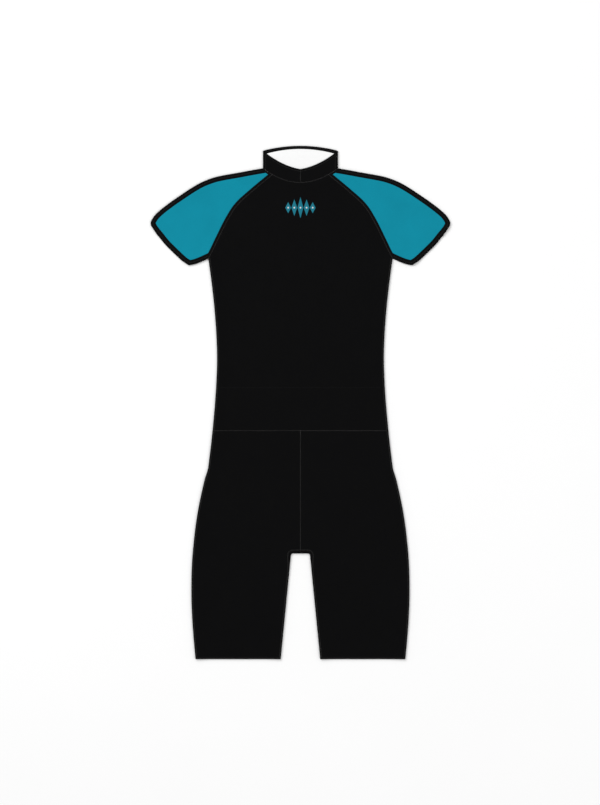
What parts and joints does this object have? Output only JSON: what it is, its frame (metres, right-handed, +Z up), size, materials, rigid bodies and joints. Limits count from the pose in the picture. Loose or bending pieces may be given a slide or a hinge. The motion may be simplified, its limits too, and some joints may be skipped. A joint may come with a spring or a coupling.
{
  "type": "unitard",
  "caption": "Short-sleeved, thigh-length stretch unitard with a stand collar and contrast raglan sleeves, laid out flat on its back.",
  "frame": {"origin": "on the surface that the garment lies on, below the middle of its box", "axes": "+X to the wearer's left (the picture's right), +Y from the leg hems to the collar, +Z up through the front"},
  "size_m": [0.5988, 1.0267, 0.0048],
  "materials": {
    "black_knit": "fine matt-satin polyamide and elastane warp knit, near black",
    "teal_knit": "the same knit in teal",
    "black_band": "black stretch band and tape, finer and flatter than the knit",
    "pale_facing": "white brushed knit, the inside of the collar",
    "zip_tape": "black woven polyester tape",
    "slider_metal": "dark coated slider"
  },
  "bodies": {
    "root": {"front_body": "black_knit", "back_body_left": "black_knit", "back_body_right": "black_knit", "sleeve_front_left": "teal_knit", "sleeve_front_right": "teal_knit", "sleeve_back_left": "teal_knit", "sleeve_back_right": "teal_knit", "overarm_band_left": "black_band", "overarm_band_right": "black_band", "cuff_band_front_left": "black_band", "cuff_band_front_right": "black_band", "cuff_band_back_left": "black_band", "cuff_band_back_right": "black_band", "underarm_band_left": "black_band", "underarm_band_right": "black_band", "raglan_tape_front_left": "black_band", "raglan_tape_front_right": "black_band", "raglan_tape_back_left": "black_band", "raglan_tape_back_right": "black_band", "collar_front_left": "black_knit", "collar_front_right": "black_knit", "collar_back_left": "black_knit", "collar_back_right": "black_knit", "collar_edge_tape_left": "black_band", "collar_edge_tape_right": "black_band", "collar_facing": "pale_facing", "shorts_front_left": "black_knit", "shorts_front_right": "black_knit", "shorts_back_left": "black_knit", "shorts_back_right": "black_knit", "zip_tape_left": "zip_tape", "zip_tape_right": "zip_tape", "zip_slider": "slider_metal", "zip_pull_ribbon": "zip_tape"}
  },
  "joints": []
}
